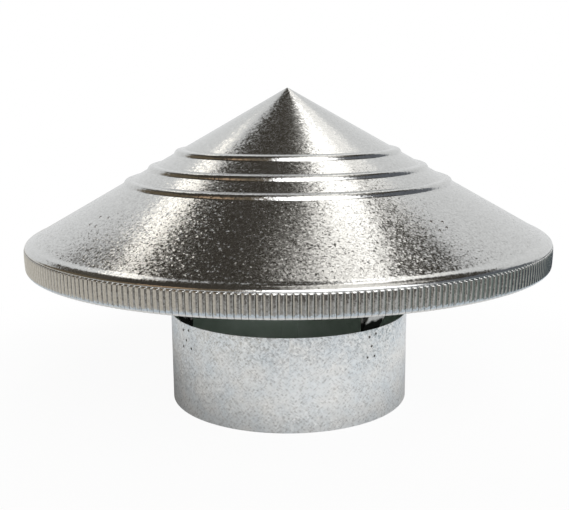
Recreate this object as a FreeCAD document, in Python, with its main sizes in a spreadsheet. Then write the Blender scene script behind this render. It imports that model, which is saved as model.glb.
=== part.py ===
import FreeCAD, Part
import math
import os

import Sketcher

# Chimney cap of galvanised sheet: a pressed conical hat held over a flue collar by four straps.
# Millimetres, +Z up. The origin is the centre of the collar's bottom edge, on the flue's axis,
# and the front of the cap looks towards -Y.

doc = FreeCAD.newDocument("chimney_cap")
sheet = doc.addObject("Spreadsheet::Sheet", "dims")

# Driving sizes: the name, the value and what it sets
SIZES = (
    ("pipe_bore_radius", 101.6, "inside radius of the 8 inch flue pipe that takes the collar"),
    ("pipe_clearance", 0.4, "gap between the pipe's bore and the collar, on the radius"),
    ("collar_height", 76.0, "height of the collar, 3 inches"),
    ("collar_sheet", 0.6, "thickness of the collar's sheet"),
    ("seam_overlap", 15.0, "width of the collar's lap seam"),
    ("seam_joint_width", 0.5, "width of the line that the seam's free edge leaves outside"),
    ("seam_joint_depth", 0.3, "depth of that line"),
    ("rim_gap", 45.4, "clear height between the collar's top edge and the hat's rim"),
    ("hat_sheet", 0.6, "thickness of the hat's sheet"),
    ("rim_radius", 216.8, "radius over the crests of the flutes, for a hat 17 inches wide"),
    ("skirt_height", 16.5, "height of the fluted skirt, 5/8 inch"),
    ("flute_count", 300.0, "flutes crimped round the skirt"),
    ("flute_depth", 0.7, "depth of a groove below the crests beside it"),
    ("flute_groove_width", 1.1, "width of the groove between two crests"),
    ("flute_root_step", 0.1, "how far the groove's root stands outside the shoulder"),
    ("shoulder_radius", 4.6, "radius of the rounded shoulder above the skirt"),
    ("cone_slope", 29.4, "fall of the cone, in degrees"),
    ("tip_radius", 0.8, "radius of the blunt tip"),
    ("upper_bead_radius", 91.0, "distance of the upper bead from the axis"),
    ("middle_bead_radius", 113.1, "distance of the middle bead from the axis"),
    ("lower_bead_radius", 132.8, "distance of the lower bead from the axis"),
    ("bead_width", 9.2, "width of a bead down the slope"),
    ("bead_crown_width", 3.4, "width of a bead's flat crown"),
    ("bead_rise", 1.9, "height of a bead above the cone"),
    ("strap_width", 18.0, "width of the strap's strip"),
    ("strap_sheet", 1.0, "thickness of the strap's strip"),
    ("strap_foot_length", 26.0, "length of the strap inside the collar"),
    ("strap_bend_height", 1.0, "height of the foot's bend above the collar's edge"),
    ("strap_bend_radius", 2.5, "inside radius of the strap's bends"),
    ("strap_head_radius", 159.0, "distance from the axis at which the strap meets the hat"),
    ("strap_head_length", 25.0, "length of the strap along the hat's underside"),
    ("strap_angle_back_right", 37.0, "direction of this strap, in degrees from +X towards +Y"),
    ("strap_angle_back_left", 127.0, "direction of this strap"),
    ("strap_angle_front_left", 215.0, "direction of this strap"),
    ("strap_angle_front_right", 309.0, "direction of this strap"),
)

for row, (alias, value, note) in enumerate(SIZES, start=1):
    sheet.set(f"A{row}", alias)
    sheet.set(f"B{row}", str(value))
    sheet.set(f"C{row}", note)
    sheet.setAlias(f"B{row}", alias)
doc.recompute()

# Sizes worked out from the driving ones
COLLAR_OUTSIDE = "(dims.pipe_bore_radius - dims.pipe_clearance)"
COLLAR_INSIDE = f"({COLLAR_OUTSIDE} - dims.collar_sheet)"
RIM_BOTTOM = "(dims.collar_height + dims.rim_gap)"
RIM_TOP = f"({RIM_BOTTOM} + dims.skirt_height)"
FLUTE_ROOT = "(dims.rim_radius - dims.flute_depth)"
SHOULDER_OUTSIDE = f"({FLUTE_ROOT} - dims.flute_root_step)"
CONE_FOOT_RADIUS = f"({SHOULDER_OUTSIDE} - dims.shoulder_radius)"
CONE_FOOT_HEIGHT = f"({RIM_TOP} + dims.shoulder_radius)"

ORIGIN = FreeCAD.Vector(0, 0, 0)
UP = FreeCAD.Vector(0, 0, 1)
SHOULDER_FLATS = 3  # flats that make up the quarter-round of the shoulder


def cone_height(radius, below="0"):
    """Height of the cone's outer face at a radius, or of a parallel face that far below it."""
    rise = f"({CONE_FOOT_RADIUS} - ({radius})) * tan(dims.cone_slope)"
    return f"({CONE_FOOT_HEIGHT} + {rise} - ({below}) / cos(dims.cone_slope))"


def worked_out(expression):
    """Value of an expression in the sheet's sizes, in millimetres or degrees."""
    result = sheet.evalExpression(expression)
    return float(getattr(result, "Value", result))


def bind(thing, **expressions):
    """Tie properties of an object to expressions, with two underscores for a point in a name."""
    for name, expression in expressions.items():
        thing.setExpression(name.replace("__", "."), expression)


def tie(sketch, constraint, expression):
    """Add a constraint to a sketch and tie its value to an expression."""
    index = sketch.addConstraint(constraint)
    sketch.setExpression(f"Constraints[{index}]", expression)


def tie_point(sketch, edge, end, across, up):
    """Tie one end of an edge to its two distances from the sketch's origin."""
    for kind, axis, expression in (("DistanceX", -2, across), ("DistanceY", -1, up)):
        value = worked_out(expression)
        if value:
            tie(sketch, Sketcher.Constraint(kind, -1, 1, edge, end, value), expression)
        else:
            sketch.addConstraint(Sketcher.Constraint("PointOnObject", edge, end, axis))


def add_polyline(sketch, corners, closed=False):
    """Draw lines from corner to corner, with each corner tied to its two expressions."""
    places = [FreeCAD.Vector(worked_out(across), worked_out(up), 0) for across, up in corners]
    ends = places[1:] + places[:1] if closed else places[1:]
    lines = [sketch.addGeometry(Part.LineSegment(*pair)) for pair in zip(places, ends)]
    following = lines[1:] + lines[:1] if closed else lines[1:]
    for line, after in zip(lines, following):
        sketch.addConstraint(Sketcher.Constraint("Coincident", line, 2, after, 1))
    for line, corner in zip(lines, corners):
        tie_point(sketch, line, 1, *corner)
    if not closed:
        tie_point(sketch, lines[-1], 2, *corners[-1])


def upright_sketch(name):
    """A sketch in the plane of the axis: its first direction is the radius, its second the height."""
    sketch = doc.addObject("Sketcher::SketchObject", name)
    sketch.Placement = FreeCAD.Placement(ORIGIN, FreeCAD.Rotation(FreeCAD.Vector(1, 0, 0), 90))
    return sketch


def sheet_section(name, outline, thickness):
    """The section of a bent sheet: its outline thickened to one side."""
    section = doc.addObject("Part::Offset2D", name)
    section.Source = outline
    section.Mode = "Skin"
    section.Join = "Intersection"
    section.Fill = True
    bind(section, Value=thickness)
    return section


# The hat


def bead_corners(radius):
    """Corners of one bead's outline, from its upper foot over its crown to its lower foot."""
    corners = []
    for along, rise in (
        ("-dims.bead_width / 2", "0"),
        ("-dims.bead_crown_width / 2", "dims.bead_rise"),
        ("dims.bead_crown_width / 2", "dims.bead_rise"),
        ("dims.bead_width / 2", "0"),
    ):
        across = f"{radius} + ({along}) * cos(dims.cone_slope) + {rise} * sin(dims.cone_slope)"
        fall = f"({along}) * sin(dims.cone_slope) - {rise} * cos(dims.cone_slope)"
        corners.append((across, f"{cone_height(radius)} - ({fall})"))
    return corners


def shoulder_corners():
    """Corners of the shoulder, from level at the cone's foot to upright at the skirt's top."""
    corners = []
    for flat in range(SHOULDER_FLATS + 1):
        angle = f"(90 - 90 * {flat} / {SHOULDER_FLATS})"
        across = f"{CONE_FOOT_RADIUS} + dims.shoulder_radius * cos({angle})"
        corners.append((across, f"{RIM_TOP} + dims.shoulder_radius * sin({angle})"))
    return corners


def build_hat_shell():
    """The cone with its blunt tip, its three beads and its shoulder, spun from one sheet."""
    tip_height = cone_height("dims.tip_radius")
    corners = [("0", tip_height), ("dims.tip_radius", tip_height)]
    for bead in ("upper", "middle", "lower"):
        corners += bead_corners(f"dims.{bead}_bead_radius")
    corners += shoulder_corners()
    outline = upright_sketch("hat_outline")
    add_polyline(outline, corners)
    shell = doc.addObject("Part::Revolution", "hat_shell")
    shell.Source = sheet_section("hat_section", outline, "-dims.hat_sheet")
    shell.Axis = UP
    shell.Angle = 360
    shell.Solid = True
    return shell


def flute_section():
    """The skirt's section: crests with narrow grooves between them, round a plain inside wall."""
    crest = worked_out("dims.rim_radius")
    root = worked_out(FLUTE_ROOT)
    inside = worked_out(f"{SHOULDER_OUTSIDE} - dims.hat_sheet")
    count = round(worked_out("dims.flute_count"))
    pitch = 2 * math.pi / count
    half_groove = worked_out("dims.flute_groove_width") / crest / 2
    corners = []
    for flute in range(count):
        start = flute * pitch
        for radius, angle in (
            (root, start),
            (crest, start + half_groove),
            (crest, start + pitch - half_groove),
        ):
            corners.append(FreeCAD.Vector(radius * math.cos(angle), radius * math.sin(angle), 0))
    outer = Part.makePolygon(corners + corners[:1])
    inner = Part.Wire(Part.makeCircle(inside))
    return Part.makeFace([outer, inner], "Part::FaceMakerBullseye")


def build_skirt():
    """The fluted skirt that stiffens the hat's edge."""
    section = doc.addObject("Part::Feature", "flute_section")
    section.Shape = flute_section()
    skirt = doc.addObject("Part::Extrusion", "skirt")
    skirt.Base = section
    skirt.DirMode = "Custom"
    skirt.Dir = UP
    skirt.Solid = True
    bind(skirt, LengthFwd="dims.skirt_height", Placement__Base__z=RIM_BOTTOM)
    return skirt


def build_hat():
    """The hat, one piece: the shell and the skirt that is crimped out of its edge."""
    hat = doc.addObject("Part::Fuse", "hat")
    hat.Base = build_hat_shell()
    hat.Tool = build_skirt()
    return hat


# The collar


def flat_sketch(body, name):
    """A sketch on a body's own ground plane."""
    sketch = body.newObject("Sketcher::SketchObject", name)
    ground = next(plane for plane in body.Origin.OriginFeatures if plane.Role == "XY_Plane")
    sketch.AttachmentSupport = [(ground, "")]
    sketch.MapMode = "FlatFace"
    return sketch


def add_circle(sketch, radius):
    """Draw a circle about the sketch's origin."""
    size = worked_out(radius)
    edge = sketch.addGeometry(Part.Circle(ORIGIN, UP, size))
    sketch.addConstraint(Sketcher.Constraint("Coincident", edge, 3, -1, 1))
    tie(sketch, Sketcher.Constraint("Radius", edge, size), radius)


def add_ring_piece(sketch, half_width, inner, outer):
    """Draw the piece of a ring that lies between two upright lines, behind the sketch's origin."""
    reach = worked_out(half_width)
    arcs = []
    for radius in (inner, outer):
        size = worked_out(radius)
        turn = math.asin(reach / size)
        circle = Part.Circle(ORIGIN, UP, size)
        arc = sketch.addGeometry(
            Part.ArcOfCircle(circle, math.pi / 2 - turn, math.pi / 2 + turn)
        )
        sketch.addConstraint(Sketcher.Constraint("Coincident", arc, 3, -1, 1))
        tie(sketch, Sketcher.Constraint("Radius", arc, size), radius)
        arcs.append(arc)
    for end, side in ((1, 1), (2, -1)):
        corners = [sketch.getPoint(arc, end) for arc in arcs]
        line = sketch.addGeometry(Part.LineSegment(*corners))
        sketch.addConstraint(Sketcher.Constraint("Coincident", arcs[0], end, line, 1))
        sketch.addConstraint(Sketcher.Constraint("Coincident", arcs[1], end, line, 2))
        sketch.addConstraint(Sketcher.Constraint("Vertical", line))
        place = Sketcher.Constraint("DistanceX", -1, 1, line, 1, side * reach)
        tie(sketch, place, f"{side} * {half_width}")


def add_feature(body, kind, name, sketch, into_body=False):
    """Add a pad or a pocket of the collar's height, with a sketch as its profile."""
    feature = body.newObject(kind, name)
    feature.Profile = sketch
    feature.Reversed = into_body
    bind(feature, Length="dims.collar_height")
    doc.recompute()


def build_collar():
    """The collar, a strip rolled to a tube whose ends lap at the back."""
    collar = doc.addObject("PartDesign::Body", "collar")
    half_lap = "(dims.seam_overlap / 2)"

    disc = flat_sketch(collar, "collar_disc")
    add_circle(disc, COLLAR_OUTSIDE)
    add_feature(collar, "PartDesign::Pad", "collar_blank", disc)

    bore = flat_sketch(collar, "collar_bore")
    add_circle(bore, COLLAR_INSIDE)
    add_feature(collar, "PartDesign::Pocket", "collar_passage", bore, into_body=True)

    wall_at_joint = f"sqrt({COLLAR_OUTSIDE}^2 - {half_lap}^2)"
    low, high = half_lap, f"({half_lap} + dims.seam_joint_width)"
    floor, beyond = f"({wall_at_joint} - dims.seam_joint_depth)", COLLAR_OUTSIDE
    joint = flat_sketch(collar, "seam_joint_section")
    corners = [(low, floor), (high, floor), (high, beyond), (low, beyond)]
    add_polyline(joint, corners, closed=True)
    add_feature(collar, "PartDesign::Pocket", "seam_joint", joint, into_body=True)

    lap = flat_sketch(collar, "seam_lap_section")
    lap_inside = f"({COLLAR_INSIDE} - dims.collar_sheet)"
    add_ring_piece(lap, half_lap, lap_inside, f"({COLLAR_INSIDE} + dims.collar_sheet / 2)")
    add_feature(collar, "PartDesign::Pad", "seam_lap", lap)
    return collar


# The straps


def edge_radius(radius):
    """Distance from the axis to the flat strip's edges, where its middle is at a radius."""
    return f"sqrt(({radius})^2 + (dims.strap_width / 2)^2)"


def strap_outline(name):
    """The strap's lower face from end to end: foot, bend, web, bend and head."""
    below = "dims.hat_sheet + dims.strap_sheet"
    foot_radius = f"sqrt({COLLAR_INSIDE}^2 - (dims.strap_width / 2)^2)"
    head_end_radius = "(dims.strap_head_radius + dims.strap_head_length * cos(dims.cone_slope))"
    foot_end = (foot_radius, "(dims.collar_height - dims.strap_foot_length)")
    foot_top = (foot_radius, "(dims.collar_height + dims.strap_bend_height)")
    head_start = (
        "dims.strap_head_radius",
        cone_height(edge_radius("dims.strap_head_radius"), below),
    )
    head_end = (head_end_radius, cone_height(edge_radius(head_end_radius), below))
    places = [
        FreeCAD.Vector(worked_out(across), worked_out(up), 0)
        for across, up in (foot_end, foot_top, head_start, head_end)
    ]

    # The web is tangent to both bends, whose centres lie outside the foot and under the head
    bend = worked_out("dims.strap_bend_radius")
    slope = math.radians(worked_out("dims.cone_slope"))
    foot_centre = places[1] + FreeCAD.Vector(bend, 0, 0)
    head_centre = places[2] - FreeCAD.Vector(math.sin(slope), math.cos(slope), 0) * bend
    rise = head_centre - foot_centre
    web_side = math.atan2(rise.y, rise.x) + math.pi / 2
    outward = FreeCAD.Vector(math.cos(web_side), math.sin(web_side), 0) * bend

    outline = upright_sketch(name)
    foot = outline.addGeometry(Part.LineSegment(places[0], places[1]))
    foot_bend = outline.addGeometry(
        Part.ArcOfCircle(Part.Circle(foot_centre, UP, bend), web_side, math.pi)
    )
    web = outline.addGeometry(Part.LineSegment(foot_centre + outward, head_centre + outward))
    head_bend = outline.addGeometry(
        Part.ArcOfCircle(Part.Circle(head_centre, UP, bend), math.pi / 2 - slope, web_side)
    )
    head = outline.addGeometry(Part.LineSegment(places[2], places[3]))

    for first, first_end, second, second_end in (
        (foot, 2, foot_bend, 2),
        (foot_bend, 1, web, 1),
        (web, 2, head_bend, 2),
        (head_bend, 1, head, 1),
    ):
        meeting = Sketcher.Constraint("Tangent", first, first_end, second, second_end)
        outline.addConstraint(meeting)
    for arc in (foot_bend, head_bend):
        tie(outline, Sketcher.Constraint("Radius", arc, bend), "dims.strap_bend_radius")
    outline.addConstraint(Sketcher.Constraint("Vertical", foot))
    tie_point(outline, foot, 1, *foot_end)
    tie(outline, Sketcher.Constraint("DistanceY", -1, 1, foot, 2, places[1].y), foot_top[1])
    tie_point(outline, head, 1, *head_start)
    tie_point(outline, head, 2, *head_end)
    return outline


def build_strap(name, angle):
    """A strap bent from flat strip: its foot lies in the collar and its head under the hat."""
    outline = strap_outline(f"{name}_outline")
    strap = doc.addObject("Part::Extrusion", name)
    strap.Base = sheet_section(f"{name}_section", outline, "dims.strap_sheet")
    strap.DirMode = "Custom"
    strap.Dir = FreeCAD.Vector(0, 1, 0)
    strap.Symmetric = True
    strap.Solid = True
    strap.Placement.Rotation = FreeCAD.Rotation(UP, worked_out(angle))
    bind(strap, LengthFwd="dims.strap_width", Placement__Rotation__Angle=angle)
    return strap


def check_and_export(nodes):
    """Stop if anything failed to build, and otherwise write one file for each node."""
    doc.recompute()
    failed = [thing.Name for thing in doc.Objects if {"Invalid", "Error"} & set(thing.State)]
    if failed:
        raise RuntimeError(f"these objects failed: {failed}")
    os.makedirs("parts", exist_ok=True)
    for node in nodes:
        if node.Shape.isNull() or not node.Shape.isValid() or len(node.Shape.Solids) != 1:
            raise RuntimeError(f"{node.Label} isn't one valid solid")
        node.Shape.exportStep(f"parts/{node.Label}.step")
        box = node.Shape.BoundBox
        print(f"{node.Label}: {node.Shape.Volume:.0f} mm3, {box.ZMin:.2f} to {box.ZMax:.2f} mm high")


nodes = [build_hat(), build_collar()]
for corner in ("back_right", "back_left", "front_left", "front_right"):
    nodes.append(build_strap(f"strap_{corner}", f"dims.strap_angle_{corner}"))
check_and_export(nodes)
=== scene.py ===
# %% [markdown]
# A galvanised chimney cap, rebuilt around its CAD model. The hat is one pressed sheet: a cone with
# three raised rings, a rounded shoulder and a skirt of crimped flutes. Four bent straps hold it over
# a round collar, and small spot welds fasten the straps. The CAD model gives every place and size,
# and this lesson models the same sheets finely enough for a close look and gives them their finish.

import math

import bmesh
import bpy
from mathutils import Matrix, Vector


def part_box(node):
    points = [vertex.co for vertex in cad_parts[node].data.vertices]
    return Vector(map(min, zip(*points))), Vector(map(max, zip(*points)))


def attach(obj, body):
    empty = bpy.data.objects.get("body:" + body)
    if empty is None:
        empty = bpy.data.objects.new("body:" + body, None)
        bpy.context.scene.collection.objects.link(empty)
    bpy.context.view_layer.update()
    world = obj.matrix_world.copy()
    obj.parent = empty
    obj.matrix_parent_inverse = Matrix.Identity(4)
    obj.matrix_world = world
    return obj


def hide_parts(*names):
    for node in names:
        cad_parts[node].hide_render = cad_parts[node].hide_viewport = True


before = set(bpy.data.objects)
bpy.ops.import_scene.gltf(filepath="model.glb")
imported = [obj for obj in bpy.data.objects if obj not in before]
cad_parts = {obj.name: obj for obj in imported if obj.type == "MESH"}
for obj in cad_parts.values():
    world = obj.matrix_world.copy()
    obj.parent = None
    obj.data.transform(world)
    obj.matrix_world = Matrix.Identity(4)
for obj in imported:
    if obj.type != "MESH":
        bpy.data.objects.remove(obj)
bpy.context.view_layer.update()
MM = 0.001

# %% [markdown]
# The camera comes first, because everything is judged through it. Its place, lens and small roll
# were worked out from the ellipses that the rim, the rings and the collar draw in the photograph.
# The small shift is there because the picture is a cut-out whose centre isn't the lens's axis.

# %% The camera
PICTURE_WIDTH = 569
FOCAL_PIXELS = 856.0
LENS_CENTRE_RIGHT = 4.0  # pixels right of the picture's middle
LENS_CENTRE_DOWN = 1.77  # pixels below the picture's middle
CAMERA_PLACE = (0, -721.4 * MM, 259.7 * MM)
CAMERA_DIP = math.radians(11.05)
CAMERA_ROLL = math.radians(-0.4)

camera_data = bpy.data.cameras.new("camera")
camera = bpy.data.objects.new("camera", camera_data)
bpy.context.scene.collection.objects.link(camera)
bpy.context.scene.camera = camera
camera_data.lens = camera_data.sensor_width * FOCAL_PIXELS / PICTURE_WIDTH
camera_data.shift_x = -LENS_CENTRE_RIGHT / PICTURE_WIDTH
camera_data.shift_y = LENS_CENTRE_DOWN / PICTURE_WIDTH
camera_data.clip_start = 10 * MM
camera.matrix_world = (
    Matrix.Translation(CAMERA_PLACE)
    @ Matrix.Rotation(math.pi / 2 - CAMERA_DIP, 4, "X")
    @ Matrix.Rotation(CAMERA_ROLL, 4, "Z")
)
print("Lens:", round(camera_data.lens, 2), "mm")

# %% [markdown]
# Everything below is modelled with the tools that a hand would use: a primitive, then extrude, spin,
# bridge and scale in edit mode. A tool acts on all that is selected, so these helpers first clear
# the selection and then pick faces, edges or points by where they are.

# %% Helpers for modelling
def choose(piece):
    """Select one piece alone and make it the active one."""
    bpy.ops.object.select_all(action="DESELECT")
    piece.select_set(True)
    bpy.context.view_layer.objects.active = piece


def edit(piece):
    """Go into edit mode on one piece alone."""
    choose(piece)
    bpy.ops.object.mode_set(mode="EDIT")


def leave_edit():
    """Go back to object mode and give the piece that was edited."""
    bpy.ops.object.mode_set(mode="OBJECT")
    return bpy.context.active_object


def start(name, adder, **settings):
    """Add a primitive, name it, and go into edit mode on it with all of it selected."""
    bpy.ops.object.select_all(action="DESELECT")
    adder(**settings)
    piece = bpy.context.active_object
    piece.name = piece.data.name = name
    bpy.ops.object.transform_apply(location=True, rotation=True, scale=True)
    edit(piece)
    bpy.ops.mesh.select_all(action="SELECT")
    return piece


def pick(kind, test):
    """In edit mode, select only the points, edges or faces that pass a test of their middle."""
    bpy.ops.mesh.select_all(action="DESELECT")
    bpy.ops.mesh.select_mode(type=kind)
    data = bpy.context.edit_object.data
    mesh = bmesh.from_edit_mesh(data)
    count = 0
    for part in {"VERT": mesh.verts, "EDGE": mesh.edges, "FACE": mesh.faces}[kind]:
        corners = [part] if kind == "VERT" else part.verts
        middle = sum((corner.co for corner in corners), Vector()) / len(corners)
        if test(middle, part):
            part.select_set(True)
            count += 1
    mesh.select_flush_mode()
    bmesh.update_edit_mesh(data)
    return count


def join(pieces):
    """Join pieces to the first one."""
    choose(pieces[0])
    for piece in pieces:
        piece.select_set(True)
    bpy.ops.object.join()
    return bpy.context.active_object


def away(point):
    """Distance of a point from the flue's axis."""
    return math.hypot(point.x, point.y)


def face_outwards(wrong=None):
    """In edit mode, turn all faces outwards, and an open sheet over if a face tests as wrong."""
    bpy.ops.mesh.select_all(action="SELECT")
    bpy.ops.mesh.normals_make_consistent(inside=False)
    if wrong and pick("FACE", wrong):
        bpy.ops.mesh.select_all(action="SELECT")
        bpy.ops.mesh.flip_normals()


# %% [markdown]
# The hat is spun and pressed from one disc of sheet, so it is all rings round one axis. Its profile
# comes first, as a list of radii and heights, and most of it lies on the cone's straight line.

# %% The cone's line
FLUTES = 300
SLOPE = math.radians(29.4)
FOOT_RADIUS = 211.4 * MM  # with the height, a point on the cone's outside near its foot
FOOT_HEIGHT = 142.5 * MM


def on_cone(radius, lift=0.0):
    """Radius and height of the cone's outside at a radius, or of a point lifted square off it."""
    height = FOOT_HEIGHT + (FOOT_RADIUS - radius) * math.tan(SLOPE)
    return radius + lift * math.sin(SLOPE), height + lift * math.cos(SLOPE)


print("The cone's line meets the axis", round(on_cone(0)[1] / MM, 2), "mm up")

# %% [markdown]
# Three beads are pressed into the cone to stiffen it. In section each is a low wave with its crest
# nearer to its lower side, and a small fillet at each foot. A formula gives its height over the
# cone, so one function makes all three, and a bead can be moved by its radius alone.

# %% The three beads
BEADS = (91.0 * MM, 113.1 * MM, 132.8 * MM)
BEAD_WIDTH = 8.8 * MM
BEAD_RISE = 1.9 * MM
BEAD_TOP = 0.6  # share of the width that lies above the crest, because the lower flank is steeper
BEAD_POWER = 1.1  # above one, the wave is a little narrower than a plain one
BEAD_STEPS = 14
BEAD_FILLET = 0.25 * MM
UPPER_RINGS = (1.5, 4, 12, 28, 46, 64, 80)  # radii in mm, from the tip to the first bead
LOWER_RINGS = (146, 160, 174, 188, 200)  # radii in mm, from the last bead to the foot


def bead_lift(share):
    """Height of a bead over the cone at a share of its width: two quarter waves that meet."""
    side = (BEAD_TOP - share) / BEAD_TOP if share < BEAD_TOP else (share - BEAD_TOP) / (1 - BEAD_TOP)
    return BEAD_RISE * max(0.0, math.cos(math.pi / 2 * side)) ** BEAD_POWER


def bead_rings(middle):
    """Rings over one bead, which has a small fillet at each foot."""
    start_radius = middle - BEAD_WIDTH / 2 * math.cos(SLOPE)
    rings = [on_cone(start_radius - BEAD_FILLET)]
    for step in range(BEAD_STEPS + 1):
        share = step / BEAD_STEPS
        rings.append(on_cone(start_radius + share * BEAD_WIDTH * math.cos(SLOPE), bead_lift(share)))
    rings.append(on_cone(start_radius + BEAD_WIDTH * math.cos(SLOPE) + BEAD_FILLET))
    return rings


profile = [on_cone(radius * MM) for radius in UPPER_RINGS]
for bead in BEADS:
    profile += bead_rings(bead)
profile += [on_cone(radius * MM) for radius in LOWER_RINGS]
print("Rings down to the foot:", len(profile))

# %% [markdown]
# The cone meets the skirt in a shoulder, not at an edge. The sheet first flattens in a slight
# hollow, then turns down over a broad round and a tight one, and this plain band catches a line of
# light. Three arcs describe it. Their widths are added up first, so the last one ends exactly at
# the skirt's radius.

# %% The rounded foot
PLAIN_RADIUS = 216.0 * MM
# Each arc's radius, below nought where it is hollow, and the slopes of its ends in degrees
FOOT_ARCS = ((-18.0 * MM, 29.4, 19.0), (11.0 * MM, 19.0, 45.0), (2.38 * MM, 45.0, 90.0))
RING_TURN = 6  # degrees of an arc from one ring to the next
LEAST_RINGS = 4

foot_out = sum(
    radius * (math.sin(math.radians(last)) - math.sin(math.radians(first)))
    for radius, first, last in FOOT_ARCS
)
at_radius, at_height = on_cone(PLAIN_RADIUS - foot_out)
profile.append((at_radius, at_height))
for radius, first, last in FOOT_ARCS:
    steps = max(LEAST_RINGS, round(abs(last - first) / RING_TURN))
    for step in range(steps):
        slopes = [math.radians(first + (last - first) * (step + more) / steps) for more in (0, 1)]
        at_radius += radius * (math.sin(slopes[1]) - math.sin(slopes[0]))
        at_height -= radius * (math.cos(slopes[0]) - math.cos(slopes[1]))
        profile.append((at_radius, at_height))
SKIRT_TOP = at_height
print("Skirt's top:", round(SKIRT_TOP / MM, 2), "mm up, at", round(at_radius / MM, 2), "mm")
print("Rings in the hat's outline:", len(profile))

# %% [markdown]
# A lathe shape like this is quickly made by hand as rings: start with a small circle at the tip,
# extrude it, drop it and widen it, again and again down the profile. Each ring here has one edge for
# each flute, so the skirt will fit later.

# %% Rings from the tip to the top of the skirt
TIP_RADIUS = 0.5 * MM
TIP_RISE = 0.12 * MM


def triangles(piece):
    """Triangles in a piece's mesh."""
    return sum(len(face.vertices) - 2 for face in piece.data.polygons)


def extrude_rings(rings, radius, height):
    """Extrude the ring that is selected, from its radius and height through all the others."""
    for next_radius, next_height in rings:
        bpy.ops.mesh.extrude_region_move()
        bpy.ops.transform.translate(value=(0, 0, next_height - height))
        growth = next_radius / radius
        bpy.ops.transform.resize(value=(growth, growth, 1), center_override=(0, 0, next_height))
        radius, height = next_radius, next_height


tip_radius, tip_height = on_cone(TIP_RADIUS)
start(
    "hat_pressed",
    bpy.ops.mesh.primitive_circle_add,
    vertices=FLUTES,
    radius=tip_radius,
    fill_type="TRIFAN",
    location=(0, 0, tip_height),
)
pick("VERT", lambda middle, part: away(middle) < TIP_RADIUS / 2)
bpy.ops.transform.translate(value=(0, 0, TIP_RISE))
pick("EDGE", lambda middle, part: part.is_boundary)
extrude_rings(profile, tip_radius, tip_height)
face_outwards()
hat = leave_edit()
print("Hat's outside so far:", triangles(hat), "triangles")

# %% [markdown]
# Sheet metal has a thickness, and from below the inside of the hat shows. Solidify gives the pressed
# sheet its 0.6 mm. It leaves the lower edge open, because the flutes go on there.

# %% The sheet's thickness
SHEET = 0.6 * MM


def add_modifier(piece, kind, **settings):
    """Add a modifier, set it and apply it."""
    choose(piece)
    modifier = piece.modifiers.new(kind.title(), kind)
    for name, value in settings.items():
        setattr(modifier, name, value)
    bpy.ops.object.modifier_apply(modifier=modifier.name)


add_modifier(hat, "SOLIDIFY", thickness=SHEET, offset=-1, use_even_offset=True, use_rim=False)
print("Hat with its inside:", triangles(hat), "triangles")

# %% [markdown]
# The crimped skirt is the most skilled part of the real cap: 300 flutes, which begin with a small
# ledge under a groove below the plain shoulder, run down nearly straight, and draw in at their lower
# end. Copies of one flute are enough, because all are alike. It is half a circle, pushed out
# flatter than round and extruded down the skirt, with its width and depth changed at each row.

# %% The rows of a flute
FLUTE_STEPS = 16  # edges in the full circle that the flute is cut from
HALF_FLUTE = math.pi / FLUTES
# Drop below the skirt's top, radius over the crest and radius at the crease, in mm
FLUTE_ROWS = (
    (0.3, 215.7, 215.65),
    (0.62, 215.4, 215.3),
    (0.8, 215.45, 215.2),
    (0.83, 216.05, 215.15),
    (0.87, 216.38, 215.1),
    (0.94, 216.48, 215.05),
    (1.2, 216.53, 214.97),
    (1.9, 216.6, 214.92),
    (2.9, 216.65, 214.9),
    (4.6, 216.69, 214.9),
    (6.6, 216.68, 214.9),
    (9.5, 216.61, 214.9),
    (13.0, 216.46, 214.85),
    (15.5, 216.3, 214.8),
    (16.4, 216.05, 214.7),
    (17.0, 215.62, 214.6),
    (17.3, 215.35, 214.5),
)


def flute_row(row):
    """Drop of a row, its radius at the crease, its chord's distance from the axis, and its depth."""
    drop, crest, crease = (value * MM for value in row)
    wall = crease * math.cos(HALF_FLUTE)
    return drop, crease, wall, crest - wall


print("Rows in a flute:", len(FLUTE_ROWS))

# %% One flute
NEAR = 0.02 * MM  # points nearer than this to a place are taken to be at it
CREST_SHARES = (0.6, 0.86, 0.97)  # depth of the points beside the crest, from the crease inwards

drop, crease, wall, depth = flute_row(FLUTE_ROWS[0])
half_chord = crease * math.sin(HALF_FLUTE)
start(
    "flute",
    bpy.ops.mesh.primitive_circle_add,
    vertices=FLUTE_STEPS,
    radius=half_chord,
    location=(0, -wall, SKIRT_TOP - drop),
)
pick("VERT", lambda middle, part: middle.y > -wall + NEAR / 2)
bpy.ops.mesh.delete(type="VERT")
bpy.ops.mesh.select_all(action="SELECT")
bpy.ops.transform.resize(
    value=(1, depth / half_chord, 1), center_override=(0, -wall, SKIRT_TOP - drop)
)
for step, share in enumerate(CREST_SHARES, 1):
    turn = 2 * math.pi * step / FLUTE_STEPS
    beside = half_chord * math.cos(turn)
    pick("VERT", lambda middle, part: abs(abs(middle.x) - beside) < NEAR)
    bpy.ops.transform.translate(value=(0, -depth * (share - math.sin(turn)), 0))
bpy.ops.mesh.select_all(action="SELECT")
for row in FLUTE_ROWS[1:]:
    next_drop, next_crease, next_wall, next_depth = flute_row(row)
    bpy.ops.mesh.extrude_region_move()
    bpy.ops.transform.translate(value=(0, wall - next_wall, drop - next_drop))
    bpy.ops.transform.resize(
        value=(next_crease / crease, next_depth / depth, 1),
        center_override=(0, -next_wall, SKIRT_TOP - next_drop),
    )
    drop, crease, wall, depth = next_drop, next_crease, next_wall, next_depth
print("Points in one flute:", len(bmesh.from_edit_mesh(bpy.context.edit_object.data).verts))

# %% [markdown]
# The crimping tool leaves each flute an arched top: the ledge sinks a little towards the creases on
# both sides. By hand this is proportional editing. Here the same points are picked column by column
# and row by row, and let down most at the crease and least beside the crest.

# %% The arch at the top of a flute
ARCH_DROP = 0.35 * MM
SAME_ROW = 0.012 * MM
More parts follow.
